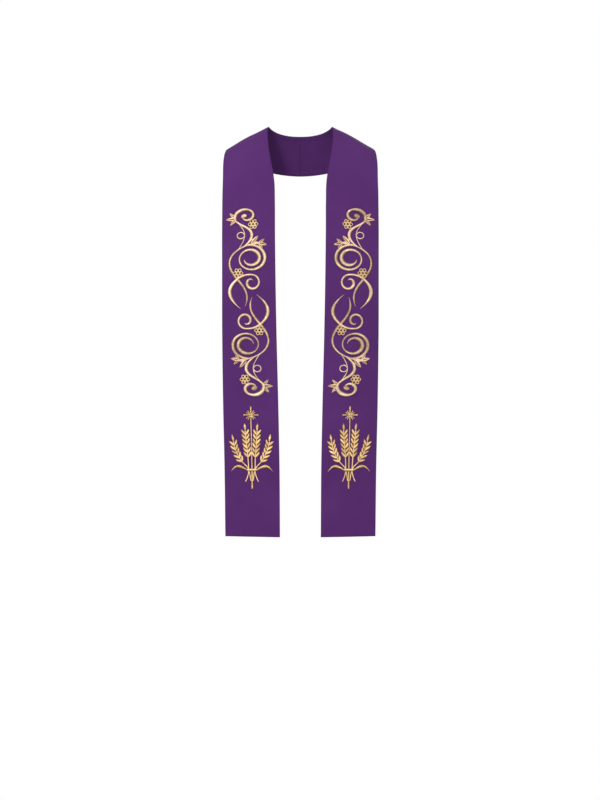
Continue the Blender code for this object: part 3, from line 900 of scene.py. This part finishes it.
# %% Emblem tables
EMBLEM_CENTRE = 230.0  # height above the hem
CROSS_TOP, CROSS_BAR, CROSS_ARM, SHAFT_FOOT = 106.0, 83.0, 20.0, -106.0
CROSS_END, CROSS_WAIST, SHAFT_WAIST, SHAFT_END = 5.5, 3.2, 3, 4.5  # widths
RAY_START, RAY_LENGTH, RAY_WIDTH = 2.0, 14.0, 1.7
RAY_ANGLES = (33, 57, 123, 147, 213, 237, 303, 327)
GRAIN_PITCH = 11.5
GRAIN_FOOT, GRAIN_TIP = (0.2, 1.4), (14.0, 9.6)  # ahead of a grain's place on the stalk, and out from it
GRAIN_WIDTH, LAST_LENGTH = 7.6, 18.0
GRAIN_SHARES = ((0, 0.30), (0.3, 0.94), (0.5, 1.0), (0.72, 0.74), (1, 0.05))
GRAIN_SLANT, LAST_SLANT, STALK_SLANT, BLADE_SLANT = -24, 20, 18, 20
STALK_SHARE, STALK_LEVEL = 0.9, 0.1  # of its drawn width, and over the cloth
STALK_NEAR = 2  # to the points that a stalk's heading is taken from
GRAIN_POINTS, STALK_POINTS, RAY_POINTS = 20, 80, 12
Ear = namedtuple("Ear", "stalk pairs")
EARS = (
    Ear((Mark(17, -88, 118, 3), Mark(8.5, -58, 90, 3), Mark(16.5, 62, 89, 3)), 6),  # beside the shaft
    Ear((Mark(3, -86, 80, 3), Mark(16, -46, 42, 3), Mark(49, 34, 86, 3)), 5),  # outwards
)
BLADE = (Mark(9, -60, 30, 3), Mark(33, -49, 12, 8.5), Mark(54, -62, -55, 1))
TIE = (Mark(-13, -58, 0, 7), Mark(13, -58, 0, 7))
SHAFT = (
    Mark(0, CROSS_TOP, -90, CROSS_END),
    Mark(0, CROSS_BAR, -90, CROSS_WAIST),
    Mark(0, 0, -90, SHAFT_WAIST),
    Mark(0, SHAFT_FOOT, -90, SHAFT_END),
)
BAR = tuple(
    Mark(p, CROSS_BAR, 0, width)
    for p, width in ((-CROSS_ARM, CROSS_END), (0, CROSS_WAIST), (CROSS_ARM, CROSS_END))
)
SHAFT_LEVEL, BAR_LEVEL, TIE_LEVEL = 0.45, 0.55, 0.9
print(len(RAY_ANGLES), "rays and", 2 * len(EARS), "ears")


# %% Emblem strokes
def grain(foot, tip, slant):
    t = np.linspace(0, 1, GRAIN_POINTS)
    widths = GRAIN_WIDTH * swelling(GRAIN_SHARES, t)
    return stroke(foot + (tip - foot) * t[:, None], widths, 0.0, slant)


def ear_strokes(ear):
    path, _ = vine_path(ear.stalk)
    run = run_of(path)
    first = run[-1] - ear.pairs * GRAIN_PITCH - LAST_LENGTH
    stalk = point_at(np.linspace(0, first + ear.pairs * GRAIN_PITCH, STALK_POINTS), run, path)
    widths = np.full(len(stalk), ear.stalk[0].width * STALK_SHARE)
    strokes = [stroke(stalk, widths, STALK_LEVEL, STALK_SLANT)]
    for k in range(ear.pairs + 1):
        place = first + k * GRAIN_PITCH
        foot = point_at(place, run, path)
        ahead = point_at(place + STALK_NEAR, run, path) - point_at(place - STALK_NEAR, run, path)
        ahead /= np.linalg.norm(ahead)
        left = np.array([-ahead[1], ahead[0]])
        if k == ear.pairs:
            strokes.append(grain(foot, foot + ahead * LAST_LENGTH, LAST_SLANT))
            break
        for way in (1, -1):
            start, tip = (foot + ahead * on + left * out * way for on, out in (GRAIN_FOOT, GRAIN_TIP))
            strokes.append(grain(start, tip, GRAIN_SLANT * way))
    return strokes


def mirrored_strokes(strokes):
    """The strokes on the other side, sewn the other way, so that their crests are mirrored too."""
    over = np.array([-1, 1])
    return [s._replace(path=(s.path * over)[::-1], widths=s.widths[::-1], slant=-s.slant) for s in strokes]


def emblem_strokes():
    half = [s for ear in EARS for s in ear_strokes(ear)]
    half.append(stroke(*vine_path(BLADE), 0.0, BLADE_SLANT))
    strokes = half + mirrored_strokes(half)
    for angle in RAY_ANGLES:
        out = np.linspace(RAY_START, RAY_LENGTH, RAY_POINTS)
        path = np.array([0, CROSS_BAR]) + np.outer(out, way_at(angle))
        strokes.append(stroke(path, np.full(len(path), RAY_WIDTH), 0.0, 0))
    for marks, level in ((SHAFT, SHAFT_LEVEL), (BAR, BAR_LEVEL), (TIE, TIE_LEVEL)):
        strokes.append(stroke(*vine_path(marks), level, 0))
    return [s._replace(thread="warm") for s in strokes]


EMBLEM = emblem_strokes()
print(f"emblem: {len(EMBLEM)} strokes, {sewn_metres(EMBLEM):.2f} m of satin stitch")

# %% [markdown]
# ## Laying flat work on the cloth
#
# Anything drawn flat, with a height above the cloth, can be laid on a band: its place across and along
# the band gives a point of the cloth, and the height moves it out the way the cloth faces. The same
# serves the inner face, where the height is counted inwards.

# %% Laying
SLIP_DEPTH = 0.3  # share of the turned edge's drop that slip stitches lie at


def laid_on_cloth(flat, side, centre_height, inside=False):
    """Flat p, q and height in metres, to places in the room."""
    p, q, height = (flat / MM).T
    along = BAND_LENGTH - centre_height - q
    points, normals = cloth_points(side, along, -p / (width_at(along) / 2))
    out = -(WALL + TURNED_DROP * SLIP_DEPTH + height) if inside else height
    return (points + normals * out[:, None]) * MM * np.array([SIGN[side], 1, 1])


def laid_over_seam(flat):
    """Flat work across the back seam: q is the distance from it, below 0 on the right band."""
    folded = flat * np.array([1, -1, 1])
    folded[:, 1] = -np.abs(flat[:, 1])
    points = laid_on_cloth(folded, "left", BAND_LENGTH)
    points[:, 0] *= np.where(flat[:, 1] < 0, -1, 1)
    return points


def lay_mesh(mesh, side, place):
    """Moves a mesh from the drawing board to its band; the left one is drawn in mirror writing."""
    flat = np.empty(len(mesh.vertices) * 3)
    mesh.vertices.foreach_get("co", flat)
    mesh.vertices.foreach_set("co", place(flat.reshape(-1, 3)).ravel())
    if side == "left":
        mesh.flip_normals()
    mesh.update()


# %% [markdown]
# ## The raised ground of a stroke
#
# Satin stitch is sewn over a raised ground, so that it stands up and catches light. The ground is a low
# dome along each stroke, built from rings: half an ellipse over a flat underside. It is dull and brown
# and a hair wider than the stroke, so that a thin dark line edges the bright threads: the underlay's edge,
# and partly a painted shadow where the raised stroke would shade the cloth.

# %% Ground
RIDGE_LEAST, RIDGE_RISE = 0.32, 0.42  # height at a stroke's thinnest, and gained with its half width
GROUND_RISE, GROUND_LEAST = 0.45, 0.05  # share of the threads' height, and least height
ROUND_TOP = 0.75  # below 1, the dome is fuller than a half ellipse
BRIM = {"pale": 0.3, "berry": 0.15, "warm": 0.3, "dark": 0.0}  # width of the dark edge: the underlay's edge, and partly a painted shadow line
BRIM_LEAST = 0.1  # share of it that is left where a stroke runs out
FULL_HALF = 0.8  # half width from which a stroke has its full height
DOME = 9  # points over the dome
CHANCE = 11  # seed of what is drawn by chance for each stroke
GROUND_STRAND = 0.4  # its shade, where each thread has its own


def ridge(half):
    return (RIDGE_LEAST + RIDGE_RISE * half) * np.clip(half / FULL_HALF, 0, 1)


def lift(s, half):
    """A stroke lies over others by its level, but sinks to them where it runs out."""
    return s.level * np.clip(half, 0, 1)


def tube_faces(rings):
    """The faces of a closed tube, whose rings are rows of point numbers."""
    return grid_faces(np.hstack([rings, rings[:, :1]])) + [rings[0].tolist(), rings[-1, ::-1].tolist()]


def ground_mesh(name, strokes):
    theta = np.linspace(0, math.pi, DOME)
    points, faces, tones, first = [], [], [], 0
    chance = np.random.default_rng(CHANCE)
    for s in strokes:
        use = np.unique([*range(0, len(s.path), 2), len(s.path) - 1])  # every second point, and the last
        path, half = s.path[use], s.widths[use, None] / 2
        top = (ridge(half) * GROUND_RISE + lift(s, half)) * np.sin(theta) ** ROUND_TOP
        top += GROUND_LEAST * np.sin(theta)
        # the brim: a dark edge past the threads, partly painted shadow round the raised stroke
        half = half + BRIM[s.thread] * np.clip(half / FULL_HALF, BRIM_LEAST, 1)
        over = path[:, None, :] - left_of(path)[:, None, :] * (half * np.cos(theta))[:, :, None]
        points.append(np.concatenate([over, top[:, :, None]], axis=2).reshape(-1, 3))
        faces += tube_faces(first + np.arange(len(path) * DOME).reshape(-1, DOME))
        tones += [chance.random()] * (len(path) * DOME)
        first += len(path) * DOME
    facts = {"tone": tones, "strand": [GROUND_STRAND] * first, "end": [0.0] * first}
    return new_mesh(name, (np.vstack(points) * MM).tolist(), [], faces, facts, THREADS["ground"])


print("ground: a dome of", DOME, "points a ring")

# %% [markdown]
# ## One thread, many times
#
# A thread of satin stitch comes up at one edge of the stroke, bends over the dome and goes down at the
# other edge. It repeats thousands of times, so the thread has only a few dozen faces, and a Geometry
# Nodes tree sets it along every path: the path's points carry the stroke's half width and height, which
# stretch the thread, and its slant. A seeded chance turns each thread a little and gives it a shade of
# its own. The crest isn't in the middle: a worker pulls a thread tight on one side, so a curl is steep
# outside and soft inside.

# %% One thread
THREAD_PLACES = (-1.0, -0.93, -0.66, 0.0, 0.66, 0.93, 1.0)
CREST_SHIFT = 0.34  # towards the left of the path, which makes that flank the steeper one
CROWN, FLANK = 0.12, -0.30  # the middle and the sides of a thread, over the line it follows
ARCH, SHOULDER = 2.3, 0.55  # powers that give the line its flat top and steep ends


def thread_object():
    """One thread over a dome of half width 1 and height 1, as wide as 2 along the stroke."""
    points, ends = [], []
    for x in THREAD_PLACES:
        z = (1 - abs(x) ** ARCH) ** SHOULDER
        across = x - CREST_SHIFT * (1 - x * x)
        points += [(across, -1, z + FLANK), (across, 0, z + CROWN), (across, 1, z + FLANK)]
        # painted shade: each thread is darker towards its ends, where it dips into the cloth
        ends += [x * x] * 3
    faces = tube_faces(np.arange(len(points)).reshape(-1, 3))
    return add_object("one thread", new_mesh("one thread", points, [], faces, {"end": ends}))


THREAD = thread_object()
print("one thread:", sum(len(face.vertices) - 2 for face in THREAD.data.polygons), "triangles")

# %% Satin stitch tree
SATIN_SIZES = {"Pitch": 0.00075, "Thread width": 0.0009, "Unevenness": 0.06}
SEED = 5
LEAST_HALF = 0.00025  # half width in metres below which no thread is laid
WIDTH_CHANCE, HEIGHT_CHANCE = (0.97, 1.03), (0.93, 1.06)


def satin_tree():
    inputs = {
        "Geometry": ("Geometry", None),
        **{name: ("Float", size) for name, size in SATIN_SIZES.items()},
        "Seed": ("Int", SEED),
        "Thread": ("Object", None),
        "Finish": ("Material", None),
    }
    tree, given, result = new_tree("satin stitch", "GeometryNodeTree", inputs, ("Geometry", "Geometry"))

    def add(kind, values=None, **settings):
        return add_node(tree, kind, values, **settings).outputs[0]

    def told(name):
        return add("GeometryNodeInputNamedAttribute", {"Name": name}, data_type="FLOAT")

    def do(operation, *values):
        return math_node(tree, operation, *values)

    def chance(low, high, offset):
        seed = do("ADD", given["Seed"], offset)
        node = add_node(tree, "FunctionNodeRandomValue", {2: low, 3: high, "Seed": seed}, data_type="FLOAT")
        return node.outputs[1]

    curve = add("GeometryNodeMeshToCurve", {0: given["Geometry"]})
    even = add("GeometryNodeResampleCurve", {"Curve": curve, "Length": given["Pitch"]}, mode="LENGTH")
    pattern = add_node(tree, "GeometryNodeObjectInfo", {"Object": given["Thread"]}).outputs["Geometry"]
    sizes = {0: told("half"), 1: LEAST_HALF}
    wide = add("FunctionNodeCompare", sizes, data_type="FLOAT", operation="GREATER_THAN")

    tangent = {"Vector": add("GeometryNodeInputTangent")}
    ahead = add("FunctionNodeAlignRotationToVector", tangent, axis="Y", pivot_axis="Z")
    turn = do("MULTIPLY_ADD", chance(-1.0, 1.0, 1), given["Unevenness"], told("slant"))
    to_turn = add("FunctionNodeEulerToRotation", {0: add("ShaderNodeCombineXYZ", {"Z": turn})})
    turned = add("FunctionNodeRotateRotation", {0: ahead, 1: to_turn}, rotation_space="LOCAL")
    stretch = {
        "X": do("MULTIPLY", told("half"), chance(*WIDTH_CHANCE, 2)),
        "Y": do("MULTIPLY", given["Thread width"], 0.5),
        "Z": do("MULTIPLY", told("rise"), chance(*HEIGHT_CHANCE, 3)),
    }
    size = add("ShaderNodeCombineXYZ", stretch)
    places = {"Points": even, "Instance": pattern, "Selection": wide, "Rotation": turned, "Scale": size}
    laid = add("GeometryNodeInstanceOnPoints", places)

    fact = {"Geometry": laid, "Name": "strand", "Value": chance(0.0, 1.0, 4)}
    shaded = add("GeometryNodeStoreNamedAttribute", fact, data_type="FLOAT", domain="INSTANCE")
    real = add("GeometryNodeRealizeInstances", {0: shaded})
    finish = {"Geometry": real, "Material": given["Finish"]}
    set_inputs(result, {"Geometry": add("GeometryNodeSetMaterial", finish)})
    return tree


SATIN = satin_tree()
print("tree:", SATIN.name, len(SATIN.nodes), "nodes")

# %% [markdown]
# A tree's inputs are set on the modifier by each socket's identifier, before the object is looked at. The
# finished mesh is then taken from the evaluated object, and the modifier and its paths are thrown away.

# %% Sewing a set of strokes
THIN, PALEST, PALE_CHANCE = 3, 1.0, 0.6  # the width of a thin stroke, and its shade


def finished_mesh(source, tree, values):
    modifier = source.modifiers.new(tree.name, "NODES")
    modifier.node_group = tree
    for item in tree.interface.items_tree:
        if item.item_type == "SOCKET" and item.in_out == "INPUT" and item.name in values:
            modifier[item.identifier] = values[item.name]
    graph = bpy.context.evaluated_depsgraph_get()
    mesh = bpy.data.meshes.new_from_object(source.evaluated_get(graph))
    source.modifiers.clear()
    bpy.data.objects.remove(source, do_unlink=True)
    return mesh


def tone_of(s, chance):
    """A shade for each stroke; the thin ones are sewn with the palest thread."""
    return chance.random() if s.widths.max() > THIN else PALEST + PALE_CHANCE * chance.random()


def path_object(strokes):
    """All the paths as edges, with each point's half width, height, slant and tone."""
    points, edges, first = [], [], 0
    facts = {"half": [], "rise": [], "slant": [], "tone": []}
    chance = np.random.default_rng(CHANCE)
    for s in strokes:
        half = s.widths / 2
        points.append(np.column_stack([s.path, np.zeros(len(half))]))
        edges += [(first + k, first + k + 1) for k in range(len(half) - 1)]
        facts["half"] += list(half * MM)
        facts["rise"] += list((ridge(half) + lift(s, half)) * MM)
        facts["slant"] += [s.slant] * len(half)
        facts["tone"] += [tone_of(s, chance)] * len(half)
        first += len(half)
    return add_object("paths", new_mesh("paths", (np.vstack(points) * MM).tolist(), edges, [], facts))


# %% The scroll and the emblem of each band
def sew(name, strokes, side, centre_height, finish):
    """The ground and the threads of a set of strokes, laid on a band."""
    ground = ground_mesh(f"{name}_ground", strokes)
    values = {**SATIN_SIZES, "Seed": SEED, "Thread": THREAD, "Finish": finish}
    threads = finished_mesh(path_object(strokes), SATIN, values)
    pieces = []
    for label, mesh in (("ground", ground), ("satin", threads)):
        lay_mesh(mesh, side, lambda flat: laid_on_cloth(flat, side, centre_height))
        pieces.append(add_piece(f"{name}_{label}", mesh))
    return pieces


SEWN = {"left": [], "right": []}
for side in SIGN:
    scroll = ("scroll", SCROLL, SCROLL_CENTRE, (f"scroll_upper_{side}", f"scroll_lower_{side}"))
    emblem = ("emblem", EMBLEM, EMBLEM_CENTRE, (f"emblem_{side}",))
    for name, strokes, centre, nodes in (scroll, emblem):
        for thread in ("pale", "berry", "warm", "dark"):
            chosen = [s for s in strokes if s.thread == thread]
            if chosen:
                SEWN[side] += sew(f"{side}_{name}_{thread}", chosen, side, centre, THREADS[thread])
        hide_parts(*nodes)  # the solid scroll and emblem are hidden

# %% [markdown]
# ## Sewing the band together
#
# The two bands meet at the back seam, which small ladder stitches close. Inside, slip stitches catch the
# turned edges all round. Both are single threads spaced along a path, so the satin tree sews them too,
# with a wider pitch and a thinner thread.

# %% Seam and slip stitches
SEAM_END = 2.0  # from the end of the seam to its first stitch
EDGE_STEP = 4.0  # between the points of a path along an edge
STITCH_LEVEL = -0.55  # single threads lie flatter than satin stitch
SEAM = {"half": 1.3, "pitch": 3.6, "slant": 8, "unevenness": 0.1}
SLIP = {"half": 1.3, "pitch": 6.0, "slant": 38, "unevenness": 0.25}
FINE = {"Thread width": 0.00045, "Seed": 9, "Thread": THREAD, "Finish": THREADS["purple"]}


def single_stitches(paths, half, pitch, slant, unevenness):
    strokes = []
    for path in paths:
        path, widths, _ = resampled(np.asarray(path, float), np.full(len(path), 2.0 * half))
        strokes.append(Stroke(path, widths, STITCH_LEVEL, math.radians(slant), "purple"))
    values = {**FINE, "Pitch": pitch * MM, "Unevenness": unevenness}
    return finished_mesh(path_object(strokes), SATIN, values)


seam_half = width_at(np.zeros(1))[0] / 2 - SEAM_END
mesh = single_stitches([[(-seam_half, 0), (seam_half, 0)]], **SEAM)
lay_mesh(mesh, "right", laid_over_seam)
add_piece("seam_stitches", mesh)

along = np.arange(TURNED_IN, BAND_LENGTH - TURNED_IN, EDGE_STEP)
edge = width_at(along) / 2 - TURNED_IN
hem_half = hem_width / 2 - TURNED_IN
for side in SIGN:
    paths = [np.column_stack([way * edge, BAND_LENGTH - along]) for way in (-1, 1)]
    paths.append([(-hem_half, TURNED_IN), (hem_half, TURNED_IN)])
    mesh = single_stitches(paths, **SLIP)
    lay_mesh(mesh, side, lambda flat: laid_on_cloth(flat, side, 0.0, inside=True))
    mesh.flip_normals()
    SEWN[side].append(add_piece(f"{side}_slip_stitches", mesh))
bpy.data.objects.remove(THREAD, do_unlink=True)

# %% [markdown]
# ## End
#
# The dressed stole has to stay within a little of the solid one, so both boxes are written down.

for side in ("left", "right"):
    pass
dressed_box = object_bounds()
for name, (low, high) in (("solid", solid_box), ("dressed", dressed_box)):
    print(name, [round((b - a) / MM, 1) for a, b in zip(low, high)], "mm")
